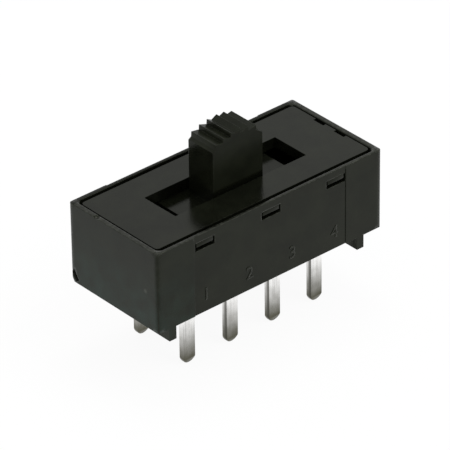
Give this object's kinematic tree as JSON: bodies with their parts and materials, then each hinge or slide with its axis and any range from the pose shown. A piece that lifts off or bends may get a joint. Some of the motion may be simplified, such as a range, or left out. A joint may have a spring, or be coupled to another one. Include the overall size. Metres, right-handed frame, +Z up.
{
  "type": "slide switch",
  "caption": "Black moulded slide switch for a printed circuit board, with a ribbed knob in a long slot, snap-in cover and flat solder terminals below.",
  "frame": {"origin": "middle of the body's plan, on the level of the terminal tips", "axes": "+X along the knob's travel towards the end with the two cover notches, +Y across the body, +Z up out of the knob"},
  "size_m": [0.0198, 0.009, 0.0153],
  "materials": {
    "housing_plastic": "moulded, fine satin grain, slightly rubbed edges",
    "cover_plastic": "moulded, fine satin grain",
    "knob_plastic": "moulded, satin",
    "tinned_terminal": "bright tin plating, duller at the sheared tips",
    "contact_bronze": "rolled sheet, satin",
    "spring_steel": "drawn wire",
    "ball_steel": "polished"
  },
  "bodies": {
    "base": {"housing": "housing_plastic", "top_cover": "cover_plastic", "terminal_front_1": "tinned_terminal", "terminal_front_2": "tinned_terminal", "terminal_front_3": "tinned_terminal", "terminal_front_4": "tinned_terminal", "terminal_back_1": "tinned_terminal", "terminal_back_2": "tinned_terminal", "terminal_back_3": "tinned_terminal", "terminal_back_4": "tinned_terminal"},
    "slider": {"slider": "knob_plastic", "contact_front": "contact_bronze", "contact_back": "contact_bronze", "contact_spring_front": "spring_steel", "contact_spring_back": "spring_steel", "detent_spring": "spring_steel"},
    "ball_front": {"detent_ball_front": "ball_steel"},
    "ball_back": {"detent_ball_back": "ball_steel"}
  },
  "joints": [
    {"name": "knob_slide", "type": "slide", "parent": "base", "child": "slider", "axis": [1, 0, 0], "range_m": [-0.00345, 0.00345]},
    {"name": "ball_front_press", "type": "slide", "parent": "slider", "child": "ball_front", "axis": [0, -1, 0], "range_m": [0, 0.0002]},
    {"name": "ball_back_press", "type": "slide", "parent": "slider", "child": "ball_back", "axis": [0, 1, 0], "range_m": [0, 0.0002]}
  ]
}
